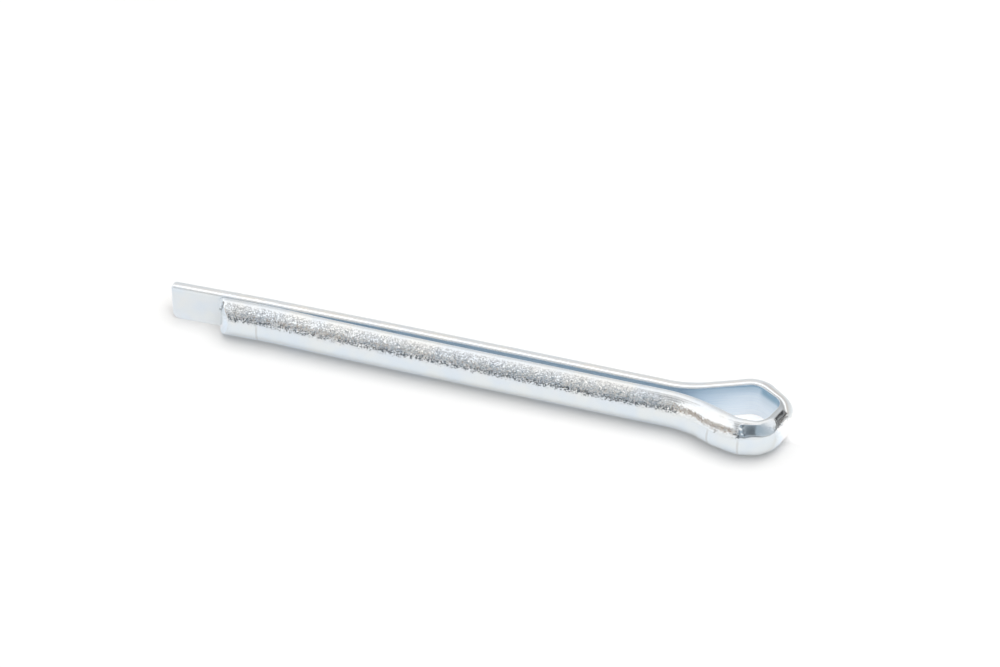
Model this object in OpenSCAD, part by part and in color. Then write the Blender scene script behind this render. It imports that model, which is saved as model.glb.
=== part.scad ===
// Split cotter pin, lying on its side as it rests on a table.
// One length of half-round wire is folded over, flat against flat, and its fold is opened into an eye.
// The origin is on the shank's axis at the seat, where the shank widens into the eye.
// +X runs along the shank to the prongs' ends, and +Z is the axis of the eye.

/* [Wire] */
// Radius of the wire's round back, which is half the height of its flat
wire_r = 1.8; // [1.6:0.05:2]
// Width of the break along both edges of the flat
edge_break = 0.15; // [0.05:0.05:0.25]

/* [Shank] */
// Length from the seat to the end of the short prong
shank_l = 40; // [30:1:80]
// How far the long prong stands out past the short one
prong_extra = 4.2; // [1:0.1:8]
// Width of the slit between the prongs
slit = 0.34; // [0.3:0.02:0.5]
// Length at the short prong's end over which the prongs lie together
nose_l = 6; // [4:0.5:8]
// Width of the slit that is left there
nose_slit = 0.06; // [0.04:0.01:0.06]
// Length over which the prongs close from the one slit to the other
closing_l = 13; // [8:1:18]
// Angle by which the closed prongs lean to the short prong's side
lean_a = 1.5; // [0.5:0.5:3]
// Angle of the slanting cut on the short prong's end, counted from a square cut
end_cut_a = 37; // [10:1:50]

/* [Eye] */
// Length from the seat to the outer end of the eye
eye_l = 9.35; // [8.6:0.05:14]
// Radius of the outside of the crown
crown_r = 3.68; // [3.4:0.02:4.2]
// How far the crown lies off the shank's axis, to the long prong's side
crown_shift = 0.24; // [0:0.02:0.4]
// Angle between the shank and the flank on the long prong's side
long_flank_a = 23; // [20:1:28]
// Angle between the shank and the flank on the short prong's side
short_flank_a = 19; // [16:1:24]
// Angle between the shank and the brow, the stretch between the short prong's flank and the crown
brow_a = 8; // [4:1:12]
// How far the short prong's flank stands out from the crown's circle
swell = 0.21; // [0.1:0.01:0.3]
// Bend radius between the shank and the long prong's flank
long_seat_r = 8; // [4:0.5:9]
// Bend radius between the shank and the short prong's flank
short_seat_r = 12; // [6:0.5:13]
// Bend radius between the brow and the short prong's flank
brow_r = 4; // [2:0.5:5]

/* [Opening of the eye] */
// Wire thickness in the long prong's flank
long_flank_t = 1.7; // [1.68:0.02:1.84]
// Wire thickness in the short prong's flank
short_flank_t = 1.9; // [1.7:0.02:1.94]
// Wire thickness under the flat place at the back of the crown
back_t = 1.62; // [1.58:0.02:1.7]
// Wire thickness under the flat place at the front of the crown
front_t = 1.38; // [1.36:0.02:1.5]
// Wire thickness at the brow
brow_t = 1.84; // [1.74:0.02:1.9]
// Direction that the back flat place faces away from, counted from the shank
back_a = 241; // [236:1:246]
// Direction that the front flat place faces away from, counted from the shank
front_a = 160; // [155:1:165]
// Corner radius where the long prong's flank meets the back flat place
back_corner_r = 1.45; // [1:0.05:1.7]
// Corner radius between the two flat places
tip_corner_r = 0.95; // [0.9:0.05:1.1]
// Corner radius between the front flat place and the brow
front_corner_r = 1.5; // [1:0.05:1.8]

/* [Hidden] */
$fn = 96;
// Directions from the axis to the two prongs' sides, and to the eye's end
long_side = 270;
short_side = 90;
eye_side = 180;
// Where the prongs lie together, and where they start to close
nose_x = shank_l - nose_l * cos(lean_a);
closing_x = nose_x - closing_l;
// Radius of the slight bends along the prongs
prong_bend_r = 20;
// Centre of the crown's circle, and radius of the bends in the round back that make it
crown = [crown_r - eye_l, -crown_shift];
crown_bend_r = crown_r - wire_r - 0.1;
// The wire is a hair fuller in a bend than in a straight stretch, which runs on into the bend
hair = 0.01;
run_on = 0.05;
// Strip of wire drawn inside the line of centres of the round back, and then cut clear again
lip = 0.16;
// Depths of that cut beside the slit and round the crown
slit_cut = slit;
crown_cut = 0.9 * tip_corner_r;
// How far a cut reaches past what it cuts
over = 1;

// Unit vector in direction a
function unit(a) = [cos(a), sin(a)];

// Straight stretch on side a of the axis, d from it
function beside_axis(a, d) = [a, d];

// Straight stretch that faces away from direction a, d from the crown's centre
function beside_crown(a, d) = [a, crown * unit(a) + d];

// Bend point where stretches p and q meet, with its bend radius r and its depth of cut
function meet(p, q, r, depth = 0) = [
    (p[1] * sin(q[0]) - q[1] * sin(p[0])) / sin(q[0] - p[0]),
    (q[1] * cos(p[0]) - p[1] * cos(q[0])) / sin(q[0] - p[0]),
    r,
    depth
];

// Stretches of the line of centres of the wire's round back, from the long prong's side
back_shank_a = beside_axis(long_side, slit / 2);
back_flank_a = beside_crown(long_side + long_flank_a, crown_r - wire_r);
back_end = beside_crown(eye_side, crown_r - wire_r);
back_brow = beside_crown(short_side - brow_a, crown_r - wire_r);
back_flank_b = beside_crown(short_side - short_flank_a, crown_r + swell - wire_r);
back_shank_b = beside_axis(short_side, slit / 2);
// Bend points at the seat, and where the prongs end and the bends start
long_seat = meet(back_shank_a, back_flank_a, long_seat_r);
short_seat = meet(back_flank_b, back_shank_b, short_seat_r);
long_neck = [long_seat.x + long_seat_r * tan(long_flank_a / 2), -slit / 2];
short_neck = [short_seat.x + short_seat_r * tan(short_flank_a / 2), slit / 2];
back_line = [
    long_neck,
    long_seat,
    meet(back_flank_a, back_end, crown_bend_r),
    meet(back_end, back_brow, crown_bend_r),
    meet(back_brow, back_flank_b, brow_r),
    short_seat,
    short_neck
];

// Stretches of the line of the wire's flat round the eye, which is the wall of the opening
flat_shank_a = beside_axis(long_side, slit / 2 + hair);
flat_flank_a = beside_crown(long_side + long_flank_a, crown_r - long_flank_t);
flat_back = beside_crown(back_a, crown_r - back_t);
flat_front = beside_crown(front_a, crown_r - front_t);
flat_brow = beside_crown(short_side, crown_r - brow_t);
flat_flank_b = beside_crown(short_side - short_flank_a, crown_r + swell - short_flank_t);
flat_shank_b = beside_axis(short_side, slit / 2 + hair);
flat_line = [
    long_neck + [over, -hair],
    meet(flat_shank_a, flat_flank_a, long_seat_r, slit_cut),
    meet(flat_flank_a, flat_back, back_corner_r, crown_cut),
    meet(flat_back, flat_front, tip_corner_r, crown_cut),
    meet(flat_front, flat_brow, front_corner_r, crown_cut),
    meet(flat_brow, flat_flank_b, brow_r, slit_cut),
    meet(flat_flank_b, flat_shank_b, short_seat_r, slit_cut),
    short_neck + [over, hair]
];

// Line of a prong's flat on side s of the axis, from its neck to l past the start of the nose
function prong_line(neck, s, l) = [
    neck - [run_on, 0],
    [closing_x, s * slit / 2, prong_bend_r],
    [nose_x, s * nose_slit / 2, prong_bend_r],
    [nose_x + l * cos(lean_a), s * nose_slit / 2 + l * sin(lean_a)]
];

// Direction of travel from bend point i to the next
function heading(line, i) = atan2(line[i + 1].y - line[i].y, line[i + 1].x - line[i].x);

// Turn at bend point i, positive to the left
function turn(line, i) =
    let (t = heading(line, i) - heading(line, i - 1))
    t > 180 ? t - 360 : t < -180 ? t + 360 : t;

// Length that the bend at point i takes off the stretches on both sides
function trim(line, i) =
    i == 0 || i == len(line) - 1 ? 0 : line[i][2] * tan(abs(turn(line, i)) / 2);

// Straight length between the bends at points i and i + 1
function clear_l(line, i) =
    norm([line[i + 1].x - line[i].x, line[i + 1].y - line[i].y]) - trim(line, i) - trim(line, i + 1);

// Depth of cut along the stretch after bend point i
function stretch_cut(line, i) =
    let (before = line[i][3], after = line[i + 1][3])
    is_undef(before) || is_undef(after) ? slit_cut : min(before, after);

// Sweeps a section along a line of bend points, with the section's x to the left of travel
module along(line) {
    translate([line[0].x, line[0].y]) rotate(heading(line, 0)) sweep_from(line, 0) children();
}

// Draws the straight stretch after bend point i, the bend at its end, and what follows
module sweep_from(line, i) {
    l = clear_l(line, i);
    before = i == 0 ? 0 : run_on;
    after = i == len(line) - 2 ? 0 : run_on;
    if (l > run_on) {
        $fuller = 0;
        $cut_depth = stretch_cut(line, i);
        translate([-before, 0, 0]) rotate([90, 0, 90])
            linear_extrude(before + l + after) children();
    }
    if (i < len(line) - 2) {
        r = line[i + 1][2];
        a = turn(line, i + 1);
        side = sign(a);
        translate([l, side * r]) {
            $fuller = hair;
            $cut_depth = line[i + 1][3];
            rotate(min(a, 0) - side * 90)
                rotate_extrude(angle = abs(a))
                    translate([r, 0]) mirror([side > 0 ? 1 : 0, 0]) children();
            rotate(a) translate([0, -side * r]) sweep_from(line, i + 1) children();
        }
    }
}

// Half-round section of the eye's wire, its back to the left, with the lip that is cut away
module lipped_section() {
    r = wire_r + $fuller;
    intersection() {
        circle(r = r);
        translate([0, -r]) square([r, 2 * r]);
    }
    translate([-lip - $fuller, -r]) square([lip + $fuller, 2 * r]);
}

// Section of the cut that leaves the flat, with both edges broken
module flat_cut_section() {
    flat = $fuller;
    edge = wire_r - edge_break;
    top = wire_r + over + $fuller;
    slope = flat + top - edge;
    deep = $cut_depth + $fuller;
    polygon([[-deep, -top], [slope, -top], [flat, -edge], [flat, edge], [slope, top], [-deep, top]]);
}

// Half-round section of a prong, its back on side s of its flat, with both edges broken
module prong_section(s) {
    flat = -s * $fuller;
    edge = wire_r - edge_break;
    reach = wire_r + over;
    intersection() {
        circle(r = wire_r + $fuller);
        polygon([
            [flat, -edge], [flat + s * reach, -edge - reach],
            [flat + s * reach, edge + reach], [flat, edge]
        ]);
    }
}

module eye() {
    difference() {
        along(back_line) lipped_section();
        along(flat_line) flat_cut_section();
    }
}

module long_prong() {
    along(prong_line(long_neck, -1, nose_l + prong_extra)) prong_section(-1);
}

// The short prong's end is cut on a slant that runs back from its flat
module short_prong() {
    cut = wire_r + over;
    difference() {
        along(prong_line(short_neck, 1, nose_l)) prong_section(1);
        translate([nose_x, 0]) rotate(lean_a) translate([nose_l, nose_slit / 2])
            rotate(end_cut_a)
                translate([0, -wire_r, -cut]) cube([nose_l, wire_r + 2 * cut, 2 * cut]);
    }
}

module cotter_pin() {
    color("gainsboro") {
        eye();
        long_prong();
        short_prong();
    }
}

cotter_pin();
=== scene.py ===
import math

import bmesh
import bpy
from mathutils import Matrix, Vector


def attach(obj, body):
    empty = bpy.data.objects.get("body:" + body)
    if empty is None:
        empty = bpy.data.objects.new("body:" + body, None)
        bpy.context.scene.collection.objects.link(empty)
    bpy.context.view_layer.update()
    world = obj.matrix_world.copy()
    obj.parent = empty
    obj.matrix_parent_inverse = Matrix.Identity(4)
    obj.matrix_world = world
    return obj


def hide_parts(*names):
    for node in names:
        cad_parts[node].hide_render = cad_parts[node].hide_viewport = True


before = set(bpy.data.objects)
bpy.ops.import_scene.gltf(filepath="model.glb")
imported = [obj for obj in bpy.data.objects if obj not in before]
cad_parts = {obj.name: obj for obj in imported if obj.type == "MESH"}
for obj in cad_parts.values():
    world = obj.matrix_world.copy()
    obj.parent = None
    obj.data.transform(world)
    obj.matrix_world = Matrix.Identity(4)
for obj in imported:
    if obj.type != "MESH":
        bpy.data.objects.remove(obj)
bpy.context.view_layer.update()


# ---- Cotter pin ------------------------------------------------------------------------------
# One length of soft steel wire, rolled to a half-round section, round on its back and flat on its
# face. It is folded over, flat on flat, and the fold is opened into an eye over a mandrel. Both
# ends are sheared off, and then the pin is zinc plated.
MM = 0.001
# The rolls leave the two edges of the flat a little rounded
wire_r = 1.8 * MM
edge_r = 0.15 * MM
edge_segments = 5
back_segments = 56
flat_segments = 18
# Within these distances a point counts as in the plane of the flat, and as on the cut that makes it
in_plane = 1e-6
on_cut = 1e-7

pin = bmesh.new()
# Each point of the section keeps its distance from the flat, its height up the flat, and the
# way the surface faces there, so that every ring of the wire can be set from them
layers = pin.verts.layers.float
out_of_flat = layers.new("out_of_flat")
up_the_flat = layers.new("up_the_flat")
facing_out = layers.new("facing_out")
facing_up = layers.new("facing_up")
along_the_wire = layers.new("along_the_wire")
bmesh.ops.create_circle(pin, cap_ends=True, segments=2 * back_segments, radius=wire_r)
bmesh.ops.bisect_plane(
    pin, geom=pin.verts[:] + pin.edges[:] + pin.faces[:], dist=on_cut,
    plane_co=(0, 0, 0), plane_no=(1, 0, 0), clear_inner=True,
)
corners = [v for v in pin.verts if abs(v.co.x) < in_plane]
bmesh.ops.bevel(
    pin, geom=corners, offset=edge_r, offset_type="OFFSET", segments=edge_segments,
    profile=0.5, affect="VERTICES", material=-1,
)
flat_edge = max(
    (e for e in pin.edges if all(abs(v.co.x) < in_plane for v in e.verts)),
    key=lambda e: e.calc_length(),
)
bmesh.ops.subdivide_edges(pin, edges=[flat_edge], cuts=flat_segments - 1)
bmesh.ops.delete(pin, geom=pin.faces[:], context="FACES_ONLY")
inside = Vector((wire_r / 2, 0, 0))
for v in pin.verts:
    before, after = (e.other_vert(v).co for e in v.link_edges)
    along = (after - before).normalized()
    facing = Vector((along.y, -along.x, 0))
    if facing.dot(v.co - inside) < 0:
        facing.negate()
    v[out_of_flat] = v.co.x
    v[up_the_flat] = v.co.y
    v[facing_out] = facing.x
    v[facing_up] = facing.y

# Line of the wire's flat, by its bend points in mm, each with its bend radius: from the long
# prong's end along the shank, round the eye by way of its crown, and back along the short prong
flat_line = [
    (44.2, 0.19, 0), (36.2, -0.04, 60), (26, -0.155, 60), (13, -0.205, 60), (-0.35, -0.19, 8),
    (-5.87, -2.44, 1.45), (-8.39, -1.05, 0.95), (-7.41, 1.64, 1.5), (-5.25, 1.66, 1.3),
    (-1.04, 0.18, 14), (5, 0.205, 60), (16, 0.19, 60), (24.5, 0.155, 60), (30, 0.095, 40),
    (35.2, -0.03, 40), (40.05, 0.115, 0),
]
# Greatest distance between the wire's rings in mm, along the prongs, and in the eye as far as
# eye_x
prong_spacing = 0.25
eye_spacing = 0.13
eye_x = 0.5


def stations(line):
    """Places along a line of bend points: position, heading, and length run so far, in mm."""
    points = [Vector(p[:2]) for p in line]
    found = []
    run = 0
    start = points[0]
    for i in range(1, len(line)):
        before = points[i] - points[i - 1]
        heading = math.atan2(before.y, before.x)
        trim = 0
        if i < len(line) - 1:
            after = points[i + 1] - points[i]
            turn = math.atan2(after.y, after.x) - heading
            turn = (turn + math.pi) % (2 * math.pi) - math.pi
            trim = line[i][2] * math.tan(abs(turn) / 2)
        end = points[i] - before.normalized() * trim
        length = (end - start).length
        step = eye_spacing if min(start.x, end.x) < eye_x else prong_spacing
        steps = max(1, math.ceil(length / step))
        for k in range(steps):
            found.append((start.lerp(end, k / steps), heading, run + length * k / steps))
        run += length
        start = end
        if trim:
            r = line[i][2]
            side = math.copysign(1, turn)
            centre = end + Vector((-math.sin(heading), math.cos(heading))) * r * side
            length = r * abs(turn)
            steps = max(1, math.ceil(length / step))
            for k in range(steps):
                a = heading + turn * k / steps
                found.append((
                    centre - Vector((-math.sin(a), math.cos(a))) * r * side, a,
                    run + length * k / steps,
                ))
            run += length
            a = heading + turn
            start = centre - Vector((-math.sin(a), math.cos(a))) * r * side
    found.append((points[-1], heading, run))
    return found


places = stations(flat_line)
total_run = places[-1][2]
# The eye is measured from the middle of the crown, along the wire
crown_run = min(places, key=lambda p: p[0].x)[2]

# Thickness along the wire in mm, counted from the crown's middle: the back of the eye, its thin
# crown, and the brow where the metal has gathered
thickness_along = [
    (-60, 1.8), (-8.6, 1.74), (-7.0, 1.66), (-5.0, 1.65), (-3.6, 1.70), (-2.6, 1.66), (-1.9, 1.54),
    (-1.2, 1.44), (-0.6, 1.32), (-0.1, 1.24), (0.7, 1.22), (1.5, 1.26), (2.2, 1.34), (2.9, 1.47),
    (3.5, 1.65), (3.8, 1.77), (4.3, 1.73), (5.0, 1.84), (5.8, 1.97), (6.6, 1.95), (8.0, 1.82),
    (9.6, 1.77), (12, 1.8), (60, 1.8),
]


def eased(table, at):
    """Value at a place in a table of (place, value), eased from one row to the next."""
    for (a, low), (b, high) in zip(table, table[1:]):
        if at <= b:
            t = min(max((at - a) / (b - a), 0), 1)
            return low + (high - low) * t * t * (3 - 2 * t)
    return table[-1][1]


# The shears round the rims of both ends. The long end has a worn lower corner. The short one is
# cut on a slant, less so towards its foot, and has a worn upper corner. All sizes are in mm, and
# the ends' shape fades out over the lead.
rim_r = 0.1
rim_steps = 4
corner_r = 0.6
slant = math.tan(math.radians(37))
foot_slant = 0.5
lead = 3.0


def place_ring(ring, place, inset):
    """Sets a ring of the wire's section across the flat's line at a place, shrunk by the inset."""
    at, heading, run = place
    past = run - crown_run
    thinned = eased(thickness_along, past) * MM / wire_r
    along = Vector((math.cos(heading), math.sin(heading), 0))
    outward = Vector((-along.y, along.x, 0))
    to_end = run if past < 0 else total_run - run
    near_end = max(0, 1 - to_end / lead)
    for v in ring:
        v[along_the_wire] = past * MM
        out = (v[out_of_flat] - inset * MM * v[facing_out]) * thinned
        up = v[up_the_flat] - inset * MM * v[facing_up]
        back = 0
        if near_end:
            share = up / wire_r
            worn = (-share if past < 0 else share) * wire_r / MM - (wire_r / MM - corner_r)
            back = corner_r - math.sqrt(corner_r ** 2 - min(max(worn, 0), corner_r) ** 2)
            if past > 0:
                back += slant * out / MM * (1 - foot_slant * max(0, -share))
        v.co = (
            Vector((at.x, at.y, 0)) * MM + outward * out + Vector((0, 0, up))
            + along * math.copysign(back * near_end * MM, -past)
        )


rounding = [
    (rim_r * (1 - math.sin(a)), rim_r * (1 - math.cos(a)))
    for a in (math.pi / 2 * k / rim_steps for k in range(rim_steps + 1))
]
rings = [(place, 0) for place in places[1:-1]]
for d, inset in rounding:
    for i, (point, heading, run) in ((0, places[0]), (len(rings) + 1, places[-1])):
        inward = 1 if i == 0 else -1
        along = Vector((math.cos(heading), math.sin(heading)))
        rings.insert(i, ((point + along * d * inward, heading, run + d * inward), inset))

first_ring = pin.edges[:]
last_ring = first_ring
place_ring(pin.verts[:], *rings[0])
for place, inset in rings[1:]:
    grown = bmesh.ops.extrude_edge_only(pin, edges=last_ring)["geom"]
    ring = [g for g in grown if isinstance(g, bmesh.types.BMVert)]
    fresh = set(ring)
    last_ring = [
        g for g in grown
        if isinstance(g, bmesh.types.BMEdge) and g.verts[0] in fresh and g.verts[1] in fresh
    ]
    place_ring(ring, place, inset)
for edges in (first_ring, last_ring):
    bmesh.ops.contextual_create(pin, geom=edges)

# Places that the bending tools pressed into the crown, each a little domed: place, the way it
# faces, depth and reach, in mm
pressed = [
    ((-6.5, 2.47, 1.47), (-0.11, 0.62, 0.78), 0.03, 0.78),
    ((-7.75, 1.85, 1.45), (-0.45, 0.5, 0.74), 0.04, 0.9),
]
dome_r = 8
for place, facing, depth, reach in pressed:
    facing = Vector(facing).normalized()
    for v in pin.verts:
        from_place = v.co / MM - Vector(place)
        too_far = from_place.dot(facing) + depth + from_place.length_squared / (2 * dome_r)
        if too_far > 0 and from_place.length < reach:
            v.co -= facing * too_far * MM

bmesh.ops.recalc_face_normals(pin, faces=pin.faces[:])
# The two sheared ends are the only faces with more than four corners, and they stay flat
for f in pin.faces:
    f.smooth = len(f.verts) < 5

# What the plating does over the pin, in tables of place in mm and share. The flat is dull, and
# blued as far as the prongs cover each other.
flat_facing = -0.99
blued_to, blued_over = 38.5, 3
dull_along = [(-2, 0.45), (2, 1), (35.5, 1), (38.5, 0.6)]
# The blue is darkened by painted shade along the flat's upper edge, and high up in the eye between
# the long prong's flank and the crown, where the flat mirrors the shaded inside of the pin
deep_up_edge = [(0.5, 0), (1.4, 0.4), (1.55, 0.5), (1.65, 0.9)]
deep_past_crown = [(-3.0, 0), (-2.3, 1), (0, 1), (0.5, 0)]
deep_up_corner = [(-0.5, 0), (0.6, 0.2), (1.2, 1)]
deep_along = [(-5, 1), (-3, 0.65), (3, 0.65)]
# The grain is rubbed down on the flat, round the crown, and close to the wire's upper and lower
# edges, above a height that changes along the pin
grain_off_flat = 0.8
grain_along = [(-8.8, 0.9), (-7.8, 0.25), (-5.9, 0.15), (-5.2, 0.8), (-4, 1)]
smooth_above = [(-2, 1.42), (4, 1.73)]
smooth_from, smooth_to, grain_left = 0.05, 0.06, 0.15
flat = layers.new("flat")
blued = layers.new("blued")
dull = layers.new("dull")
deep = layers.new("deep")
grained = layers.new("grained")
for v in pin.verts:
    x, z, past = v.co.x / MM, v.co.z / MM, v[along_the_wire] / MM
    v[flat] = 1.0 if v[facing_out] < flat_facing else 0.0
    v[blued] = v[flat] * min(max((blued_to - x) / blued_over, 0), 1)
    v[dull] = v[flat] * eased(dull_along, x)
    # Painted shade, on the flat only: along its upper edge, and high up in the eye by the crown
    corner = eased(deep_past_crown, past) * eased(deep_up_corner, z)
    v[deep] = v[flat] * max(eased(deep_up_edge, z), corner) * eased(deep_along, x)
    height = eased(smooth_above, x)
    by_edge = [(height - smooth_from, 1), (height + smooth_to, grain_left)]
    v[grained] = (
        (1 - grain_off_flat * v[flat]) * eased(grain_along, x) * eased(by_edge, abs(z))
    )
mesh = bpy.data.meshes.new("pin_wire")
pin.to_mesh(mesh)
pin.free()
wire = bpy.data.objects.new("pin_wire", mesh)
bpy.context.scene.collection.objects.link(wire)
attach(wire, "root")
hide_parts("cotter_pin")


def linear(hex_colour):
    """sRGB hex colour as linear red, green, blue and alpha."""
    parts = [int(hex_colour[i:i + 2], 16) / 255 for i in (1, 3, 5)]
    return [c / 12.92 if c <= 0.04045 else ((c + 0.055) / 1.055) ** 2.4 for c in parts] + [1]


def add(tree, kind, settings=None, **links):
    """Adds a node with its settings and its links, and returns it.

    A link is keyed by its input's name, or by i and its input's number, and gives a plain value,
    an output, or a node, which stands for its first output. A node that mixes colours has them
    at i6 and i7 and in output 2. A ramp's stops are (place, colour, how bright it is).
    """
    node = tree.nodes.new(kind)
    for key, value in (settings or {}).items():
        if key == "stops":
            elements = node.color_ramp.elements
            while len(elements) < len(value):
                elements.new(0.5)
            for element, (place, colour, level) in zip(elements, value):
                element.position = place
                element.color = [c * level for c in linear(colour)[:3]] + [1]
        else:
            setattr(node, key, value)
    for key, value in links.items():
        numbered = key[0] == "i" and key[1:].isdigit()
        socket = node.inputs[int(key[1:]) if numbered else key.replace("_", " ")]
        if isinstance(value, bpy.types.Node):
            value = value.outputs[0]
        if isinstance(value, bpy.types.NodeSocket):
            tree.links.new(value, socket)
        else:
            socket.default_value = value
    return node


# Bright electroplated zinc with a clear blue passivate over rolled steel. It mirrors the studio in
# long bands, and keeps the fine sandy grain of the pickled wire, so it sparkles where dark and
# light meet in it. The flats are satin, with fine lines from the rolls.
plating_cool, plating_warm = "#eaf0f6", "#f1f3f3"
# The third blue is the clear blue darkened by painted shade, on the flat's upper edge and in the
# eye
blue_low, blue_high, blue_deep = "#deecf8", "#e9f4fc", "#93b4c9"
round_roughness = 0.13
flat_roughness_low, flat_roughness_high = 0.32, 0.46
dull_metallic = 0.15
dent_size, dent_depth, dent_strength = 0.4 * MM, 0.006 * MM, 0.5
# The real grain is a few hundredths of a millimetre, and is drawn as coarse as it needs to show
grain_size = 0.08 * MM
grain_tilt = 0.19
line_length, line_width = 2.5 * MM, 0.14 * MM
patch_size = 2.5 * MM
# Noise keeps near its middle value, so these of its values become nothing and full
lines_from, lines_to = 0.35, 0.65
patches_from, patches_to = 0.38, 0.62

zinc = bpy.data.materials.new("bright zinc plating")
zinc.use_nodes = True
tree = zinc.node_tree
tree.nodes.clear()
where = add(tree, "ShaderNodeTexCoord").outputs["Object"]
flat, blued, dull, deep, grained, along, up = (
    add(tree, "ShaderNodeAttribute", {"attribute_name": name}).outputs["Fac"]
    for name in ("flat", "blued", "dull", "deep", "grained", "along_the_wire", "up_the_flat")
)
# Slight dents, and on them the grain, whose crystals each lean their own way
dents = add(
    tree, "ShaderNodeTexNoise", Vector=where, Scale=1 / dent_size, Detail=2.0, Roughness=0.5,
).outputs["Fac"]
bump = add(tree, "ShaderNodeBump", Height=dents, Strength=dent_strength, Distance=dent_depth)
crystals = add(tree, "ShaderNodeTexVoronoi", Vector=where, Scale=1 / grain_size)
tilt = add(
    tree, "ShaderNodeVectorMath", {"operation": "SUBTRACT"},
    i0=crystals.outputs["Color"], i1=(0.5, 0.5, 0.5),
)
by = add(tree, "ShaderNodeMath", {"operation": "MULTIPLY"}, i0=grained, i1=grain_tilt)
tilted = add(tree, "ShaderNodeVectorMath", {"operation": "SCALE"}, i0=tilt, Scale=by)
leaning = add(tree, "ShaderNodeVectorMath", {"operation": "ADD"}, i0=bump, i1=tilted)
normal = add(tree, "ShaderNodeVectorMath", {"operation": "NORMALIZE"}, i0=leaning)
# Rolling lines run along the flat, much longer than they are wide
long_way = add(tree, "ShaderNodeMath", {"operation": "DIVIDE"}, i0=along, i1=line_length)
short_way = add(tree, "ShaderNodeMath", {"operation": "DIVIDE"}, i0=up, i1=line_width)
on_flat = add(tree, "ShaderNodeCombineXYZ", X=long_way, Y=short_way)
rolled = add(
    tree, "ShaderNodeTexNoise", Vector=on_flat, Scale=1.0, Detail=3.0,
).outputs["Fac"]
lined = add(
    tree, "ShaderNodeMapRange", Value=rolled, From_Min=lines_from, From_Max=lines_to,
    To_Min=flat_roughness_low, To_Max=flat_roughness_high,
)
rough = add(tree, "ShaderNodeMix", {"data_type": "FLOAT"}, i0=flat, i2=round_roughness, i3=lined)
# The clear coat is a hair thicker in some patches, so its tone wanders between cool and warm
patches = add(
    tree, "ShaderNodeTexNoise", Vector=where, Scale=1 / patch_size, Detail=2.0,
).outputs["Fac"]
tint = add(
    tree, "ShaderNodeMapRange", Value=patches, From_Min=patches_from, From_Max=patches_to,
)
plating = add(
    tree, "ShaderNodeMix", {"data_type": "RGBA"},
    i0=tint, i6=linear(plating_cool), i7=linear(plating_warm),
)
line_tint = add(
    tree, "ShaderNodeMapRange", Value=rolled, From_Min=lines_from, From_Max=lines_to,
)
clear_blue = add(
    tree, "ShaderNodeMix", {"data_type": "RGBA"},
    i0=line_tint, i6=linear(blue_low), i7=linear(blue_high),
)
# Painted shade darkens the blue along the flat's upper edge and high up in the eye
blue = add(
    tree, "ShaderNodeMix", {"data_type": "RGBA"},
    i0=deep, i6=clear_blue.outputs[2], i7=linear(blue_deep),
)
coated = add(
    tree, "ShaderNodeMix", {"data_type": "RGBA"},
    i0=blued, i6=plating.outputs[2], i7=blue.outputs[2],
)
# Faint brown lines across the wire, where the bending tools gripped it at the brow, on the flank
# beside it, and near the short prong's end: their places in mm past the crown's middle. They fade
# out towards the wire's upper edge.
grip_places = (3.9, 6.05, 46.05)
grip_w = 0.1 * MM
grip_top, grip_full = 0.9 * MM, 0.5 * MM
grip_share = 0.25
grip_brown = "#b5aca2"
grips = [
    add(tree, "ShaderNodeMath", {"operation": "COMPARE"}, i0=along, i1=place * MM, i2=grip_w)
    for place in grip_places
]
grip = add(tree, "ShaderNodeMath", {"operation": "ADD"}, i0=grips[0], i1=grips[1])
grip = add(tree, "ShaderNodeMath", {"operation": "ADD"}, i0=grip, i1=grips[2])
low = add(
    tree, "ShaderNodeMapRange", Value=up, From_Min=grip_top, From_Max=grip_full,
    To_Max=grip_share,
)
marked = add(tree, "ShaderNodeMath", {"operation": "MULTIPLY"}, i0=grip, i1=low)
gripped = add(
    tree, "ShaderNodeMix", {"data_type": "RGBA"},
    i0=marked, i6=coated.outputs[2], i7=linear(grip_brown),
)
# A ragged grey streak of painted shade down the upper half of the short prong's end, where the
# shears tore it
tear_across = (0, 1, -0.23)
tear_at, tear_w, tear_wander = 0.52 * MM, 0.13 * MM, 0.5 * MM
tear_x = 39.35 * MM
tear_foot, tear_full = 0.2 * MM, 0.4 * MM
tear_share = 0.9
tear_grey = "#909498"
at = add(tree, "ShaderNodeSeparateXYZ", Vector=where)
beside = add(tree, "ShaderNodeVectorMath", {"operation": "DOT_PRODUCT"}, i0=where, i1=tear_across)
ragged = add(
    tree, "ShaderNodeMath", {"operation": "MULTIPLY_ADD"},
    i0=dents, i1=tear_wander, i2=beside.outputs["Value"],
)
tear = add(tree, "ShaderNodeMath", {"operation": "COMPARE"}, i0=ragged, i1=tear_at, i2=tear_w)
at_end = add(
    tree, "ShaderNodeMath", {"operation": "GREATER_THAN"}, i0=at.outputs["X"], i1=tear_x,
)
upper = add(
    tree, "ShaderNodeMapRange", Value=at.outputs["Z"], From_Min=tear_foot, From_Max=tear_full,
    To_Max=tear_share,
)
tear = add(tree, "ShaderNodeMath", {"operation": "MULTIPLY"}, i0=tear, i1=at_end)
tear = add(tree, "ShaderNodeMath", {"operation": "MULTIPLY"}, i0=tear, i1=upper)
# Painted shade: the grey streak on the short prong's end
colour = add(
    tree, "ShaderNodeMix", {"data_type": "RGBA"},
    i0=tear, i6=gripped.outputs[2], i7=linear(tear_grey),
)
metallic = add(tree, "ShaderNodeMapRange", Value=dull, To_Min=1.0, To_Max=dull_metallic)
metal = add(
    tree, "ShaderNodeBsdfPrincipled", Metallic=metallic, Roughness=rough,
    Base_Color=colour.outputs[2], Normal=normal,
)
add(tree, "ShaderNodeOutputMaterial", Surface=metal)
mesh.materials.append(zinc)
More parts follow.
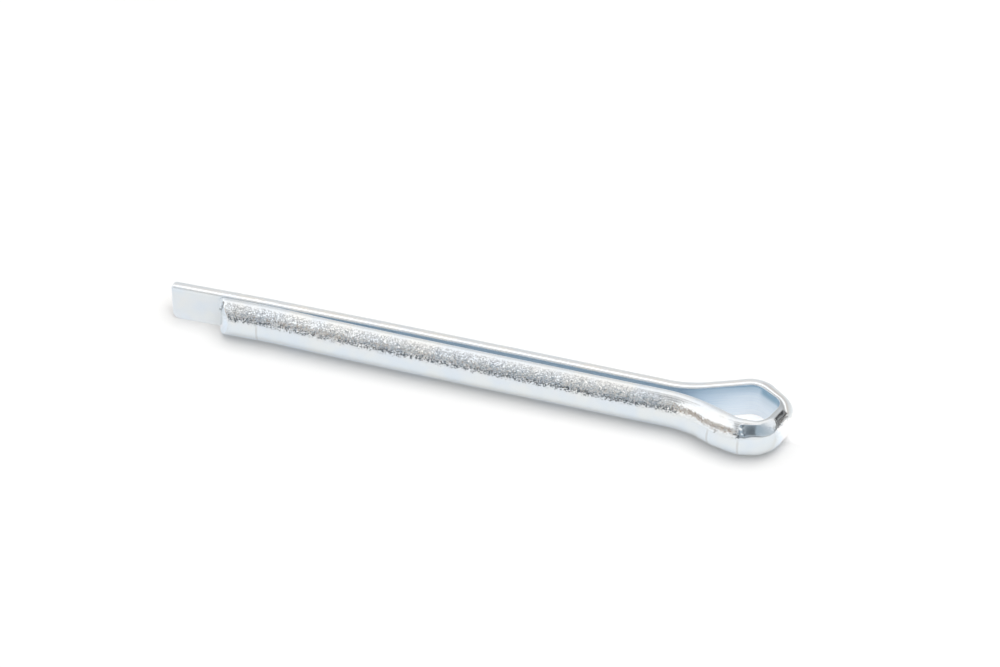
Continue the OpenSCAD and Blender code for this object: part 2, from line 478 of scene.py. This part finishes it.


# ---- Table -----------------------------------------------------------------------------------
# A plain white sheet of translucent acrylic that the pin lies on. It is matt, so the shadow on it
# is soft. In a band under the eye it carries painted light: a glow that only the camera sees.
table_half = 1.5
table_z = min(v.co.z for v in mesh.vertices)
table = bmesh.new()
bmesh.ops.create_grid(table, x_segments=1, y_segments=1, size=table_half)
bmesh.ops.translate(table, verts=table.verts[:], vec=(0, 0, table_z))
table_mesh = bpy.data.meshes.new("table")
table.to_mesh(table_mesh)
table.free()
table_top = bpy.data.objects.new("table", table_mesh)
bpy.context.scene.collection.objects.link(table_top)

sheet_white = (0.72, 0.718, 0.715, 1)
mirrored_white = (0.4, 0.41, 0.415, 1)
# The light that comes through, and the painted glow that only the pin's metal mirrors, are ramps
# across the pin, whose stops are in mm
ramp_from, ramp_to = -12, 3
plain_lift = 0.08
# Painted light, seen only by the camera: a brighter band across the pin, under the eye
lift_across = [
    (-12, "#ffffff", plain_lift), (-3, "#ffffff", plain_lift), (-2.3, "#ffffff", 0.4),
    (-0.8, "#ffffff", 0.4), (0, "#ffffff", plain_lift), (3, "#ffffff", plain_lift),
]
# Painted reflection: a glow on the sheet that only the metal mirrors, stronger in some strips than
# others
glow_across = [
    (-12, "#fffaf5", 0.23), (-5, "#fcfeff", 0.37), (-3.5, "#fff1e9", 0.75), (-0.6, "#fff1e9", 0.75),
    (0.5, "#ebf4ff", 0.58), (1.1, "#eff6ff", 0.45), (1.8, "#fffefb", 0.31), (2.4, "#fcfeff", 0.36),
    (3, "#fafdff", 0.39),
]
# How far the eye's middle lies from the seat, and how far from there, along the pin, the band of
# painted light is full and has ended
eye_middle = 6.5 * MM
band_full, band_end = 6.5 * MM, 9 * MM
# Far from the pin the lamp's light falls off, and more comes through, so the sheet stays as white
far_from, far_to = 70 * MM, 300 * MM
far_lift = 8.0

acrylic = bpy.data.materials.new("matt white acrylic")
acrylic.use_nodes = True
tree = acrylic.node_tree
tree.nodes.clear()
rays = add(tree, "ShaderNodeLightPath")
where = add(tree, "ShaderNodeTexCoord").outputs["Object"]
here = add(tree, "ShaderNodeSeparateXYZ", Vector=where)
across = add(
    tree, "ShaderNodeMapRange", Value=here.outputs["Y"],
    From_Min=ramp_from * MM, From_Max=ramp_to * MM,
)
lift_colour, glow_colour = (
    add(
        tree, "ShaderNodeValToRGB",
        {"stops": [
            ((place - ramp_from) / (ramp_to - ramp_from), colour, level)
            for place, colour, level in stops
        ]},
        Fac=across,
    ) for stops in (lift_across, glow_across)
)
matt = add(tree, "ShaderNodeBsdfDiffuse", Color=sheet_white)
mirrored_matt = add(tree, "ShaderNodeBsdfDiffuse", Color=mirrored_white)
off_eye = add(tree, "ShaderNodeMath", {"operation": "ADD"}, i0=here.outputs["X"], i1=eye_middle)
off_eye = add(tree, "ShaderNodeMath", {"operation": "ABSOLUTE"}, i0=off_eye)
by_eye = add(
    tree, "ShaderNodeMapRange", Value=off_eye, From_Min=band_full, From_Max=band_end,
    To_Min=1.0, To_Max=0.0,
)
# Painted light: the band is kept to the stretch of the sheet under the eye
lift_colour = add(
    tree, "ShaderNodeMix", {"data_type": "RGBA"},
    i0=by_eye, i6=(plain_lift, plain_lift, plain_lift, 1), i7=lift_colour,
)
away = add(tree, "ShaderNodeVectorMath", {"operation": "LENGTH"}, i0=where)
far = add(
    tree, "ShaderNodeMapRange", Value=away.outputs["Value"], From_Min=far_from, From_Max=far_to,
    To_Min=1.0, To_Max=far_lift,
)
lift = add(tree, "ShaderNodeEmission", Color=lift_colour.outputs[2], Strength=far)
# Painted reflection: the glow that the metal's glossy rays see on the sheet
shine = add(tree, "ShaderNodeEmission", Color=glow_colour, Strength=1.0)
lifted = add(tree, "ShaderNodeAddShader", i0=matt, i1=lift)
mirrored = add(tree, "ShaderNodeAddShader", i0=mirrored_matt, i1=shine)
seen = add(
    tree, "ShaderNodeMixShader", i0=rays.outputs["Is Camera Ray"], i1=matt, i2=lifted,
)
surface = add(
    tree, "ShaderNodeMixShader", i0=rays.outputs["Is Glossy Ray"], i1=seen, i2=mirrored,
)
add(tree, "ShaderNodeOutputMaterial", Surface=surface)
table_mesh.materials.append(acrylic)


# ---- Studio light ----------------------------------------------------------------------------
# A white tent that is brightest overhead and in a strip behind, with its dim open front, where
# the camera stands. The bands run along the pin, so they are ramps over the angle about it.
world = bpy.data.worlds.new("studio")
bpy.context.scene.world = world
world.use_nodes = True
tree = world.node_tree
tree.nodes.clear()
direction = add(tree, "ShaderNodeTexCoord").outputs["Generated"]
parts = add(tree, "ShaderNodeSeparateXYZ", Vector=direction)
angle = add(
    tree, "ShaderNodeMath", {"operation": "ARCTAN2"},
    i0=parts.outputs["Y"], i1=parts.outputs["Z"],
)
share = add(tree, "ShaderNodeMapRange", Value=angle, From_Min=-math.pi, From_Max=math.pi)
# Stops are in degrees from straight up, positive to the front
tent_bands = [
    (-180, "#fffdfb", 0.85), (-88, "#fff9f4", 0.86), (-73, "#fff9f4", 0.85), (-66, "#fffdfb", 1.4),
    (-57, "#fffdfb", 1.4), (-53, "#ffffff", 0.6), (-46, "#ffffff", 0.65), (-35, "#ffffff", 0.76),
    (-28, "#ffffff", 0.88), (-20, "#fffdfb", 1.15), (-16, "#fffdfb", 1.22), (71, "#fffdfb", 1.22),
    (77, "#ffffff", 0.9), (180, "#ffffff", 0.9),
]
# What the open front takes away in line with the shank, towards the prongs' ends, and towards the
# crown
shank_dim = [
    (-21, "#ffffff", 0.0), (-14, "#fffdfb", 0.2), (-8, "#fffdfb", 0.55), (5, "#fffbf7", 0.78),
    (15, "#fffbf7", 0.84), (25, "#fffbf7", 0.78), (37, "#fffaf5", 0.74), (47, "#fff8f1", 0.84),
    (58, "#fff8f1", 1.1), (64, "#fff8f1", 2.0), (76, "#fff8f1", 2.0), (78, "#ffffff", 0.0),
]
prong_dim = [
    (28, "#ffffff", 0.0), (33, "#f6fbff", 0.85), (42, "#f6fbff", 0.93), (52, "#f6fbff", 0.93),
    (60, "#f6fbff", 0.85), (65, "#ffffff", 0.2), (76, "#ffffff", 0.0),
]
crown_dim = [
    (-25, "#ffffff", 0.17), (12, "#ffffff", 0.22), (16, "#fff6ee", 0.37), (22, "#fff2e6", 0.82),
    (34, "#fff2e6", 0.85), (50, "#fff2e6", 0.67), (57, "#fff9f4", 1.0), (62, "#fff9f4", 0.72),
    (68, "#fff9f4", 1.05), (73, "#fff9f4", 0.97), (76, "#ffffff", 0.0),
]
tent, shank_part, prong_part, crown_part = (
    add(
        tree, "ShaderNodeValToRGB",
        {"stops": [((place + 180) / 360, colour, level) for place, colour, level in stops]},
        Fac=share,
    ) for stops in (tent_bands, shank_dim, prong_dim, crown_dim)
)
# Where one of them gives way to the next, and where the crown's one eases, by how much a
# direction points along the pin
prongs_from, prongs_full = 0.26, 0.31
crown_from, crown_full = 0.09, 0.05
beyond_from, beyond_full, beyond_share = -0.6, -0.8, 0.8
to_prongs = add(
    tree, "ShaderNodeMapRange", Value=parts.outputs["X"],
    From_Min=prongs_from, From_Max=prongs_full,
)
to_crown = add(
    tree, "ShaderNodeMapRange", Value=parts.outputs["X"], From_Min=crown_from, From_Max=crown_full,
)
beyond_crown = add(
    tree, "ShaderNodeMapRange", Value=parts.outputs["X"],
    From_Min=beyond_from, From_Max=beyond_full, To_Min=1.0, To_Max=beyond_share,
)
crown_part = add(
    tree, "ShaderNodeVectorMath", {"operation": "SCALE"}, i0=crown_part, Scale=beyond_crown,
)
dims = add(
    tree, "ShaderNodeMix", {"data_type": "RGBA"}, i0=to_prongs, i6=shank_part, i7=prong_part,
)
# Lines of lamps and louvres, fine enough that only the plating's grain picks them up
louvres_per_radian = 30.0
louvre_low, louvre_high = 0.4, 1.25
louvres = add(
    tree, "ShaderNodeMath", {"operation": "MULTIPLY"}, i0=angle, i1=louvres_per_radian,
)
louvres = add(tree, "ShaderNodeMath", {"operation": "SINE"}, i0=louvres)
louvres = add(
    tree, "ShaderNodeMapRange", Value=louvres, From_Min=-1.0, From_Max=1.0,
    To_Min=louvre_low, To_Max=louvre_high,
)
dims = add(
    tree, "ShaderNodeVectorMath", {"operation": "SCALE"}, i0=dims.outputs[2], Scale=louvres,
)
dims = add(
    tree, "ShaderNodeMix", {"data_type": "RGBA"}, i0=to_crown, i6=dims, i7=crown_part,
)
# A dark gap in the tent beyond the crown, with pale slats across it. It stops at the tent's back.
gap_way = (-0.87, -0.35, 0.35)
gap_edge, gap_full = 0.86, 0.92
slat_way = (0, -23, -16.5)
slat_edge, slat_dark, slat_pale = -0.2, 0.03, 0.75
back_from, back_full = -0.42, -0.52
toward = add(tree, "ShaderNodeVectorMath", {"operation": "DOT_PRODUCT"}, i0=direction, i1=gap_way)
gap = add(
    tree, "ShaderNodeMapRange", Value=toward.outputs["Value"],
    From_Min=gap_edge, From_Max=gap_full, To_Min=1.0, To_Max=0.0,
)
slats = add(tree, "ShaderNodeVectorMath", {"operation": "DOT_PRODUCT"}, i0=direction, i1=slat_way)
slats = add(tree, "ShaderNodeMath", {"operation": "SINE"}, i0=slats.outputs["Value"])
slats = add(
    tree, "ShaderNodeMapRange", Value=slats, From_Min=slat_edge, From_Max=1.0,
    To_Min=slat_dark, To_Max=slat_pale,
)
to_back = add(
    tree, "ShaderNodeMapRange", Value=parts.outputs["Y"], From_Min=back_from, From_Max=back_full,
)
gap = add(tree, "ShaderNodeMath", {"operation": "MAXIMUM"}, i0=gap, i1=slats)
gap = add(tree, "ShaderNodeMath", {"operation": "MAXIMUM"}, i0=gap, i1=to_back)
# The camera itself, and who stands behind it
lens_way = (-0.12, 0.6, 0.79)
lens_edge, lens_full, lens_share = 0.97, 0.998, 0.33
toward = add(tree, "ShaderNodeVectorMath", {"operation": "DOT_PRODUCT"}, i0=direction, i1=lens_way)
behind_lens = add(
    tree, "ShaderNodeMapRange", Value=toward.outputs["Value"],
    From_Min=lens_edge, From_Max=lens_full, To_Min=1.0, To_Max=lens_share,
)
open_share = add(tree, "ShaderNodeMath", {"operation": "MULTIPLY"}, i0=gap, i1=behind_lens)
dimmed = add(
    tree, "ShaderNodeVectorMath", {"operation": "SUBTRACT"}, i0=tent, i1=dims.outputs[2],
)
dimmed = add(
    tree, "ShaderNodeVectorMath", {"operation": "MAXIMUM"}, i0=dimmed, i1=(0, 0, 0),
)
lit = add(
    tree, "ShaderNodeVectorMath", {"operation": "SCALE"}, i0=dimmed, Scale=open_share,
)
rays = add(tree, "ShaderNodeLightPath")
tent = add(tree, "ShaderNodeBackground", Color=lit, Strength=1.0)
white = add(tree, "ShaderNodeBackground", Color=(1, 1, 1, 1), Strength=1.0)
seen = add(
    tree, "ShaderNodeMixShader", i0=rays.outputs["Is Camera Ray"], i1=tent, i2=white,
)
add(tree, "ShaderNodeOutputWorld", Surface=seen)
# A broad lamp overhead, in metres and watts, which the metal doesn't show
lamp_data = bpy.data.lights.new("lamp", "AREA")
lamp_data.shape = "RECTANGLE"
lamp_data.size = 0.36
lamp_data.size_y = 0.58
lamp_data.energy = 2.15
lamp = bpy.data.objects.new("lamp", lamp_data)
bpy.context.scene.collection.objects.link(lamp)
lamp.location = (-0.1, 0.047, 0.5)
lamp.visible_glossy = False


# ---- Camera ----------------------------------------------------------------------------------
# A long lens that stands in front of the pin, towards its crown, and looks down on it at about 45
# degrees. The lens and its sensor are in mm.
stand = Vector((-65.434, 277.953, 298.335)) * MM
aim = Vector((0.196061, -0.673410, -0.712796))
camera_roll = math.radians(-0.153)
camera_data = bpy.data.cameras.new("camera")
camera_data.lens = 180
camera_data.sensor_width = 36
camera_data.clip_start = 20 * MM
camera = bpy.data.objects.new("camera", camera_data)
bpy.context.scene.collection.objects.link(camera)
camera.matrix_world = (
    Matrix.Translation(stand) @ aim.to_track_quat("-Z", "Y").to_matrix().to_4x4()
    @ Matrix.Rotation(camera_roll, 4, "Z")
)
bpy.context.scene.camera = camera
bpy.context.scene.view_settings.view_transform = "Standard"
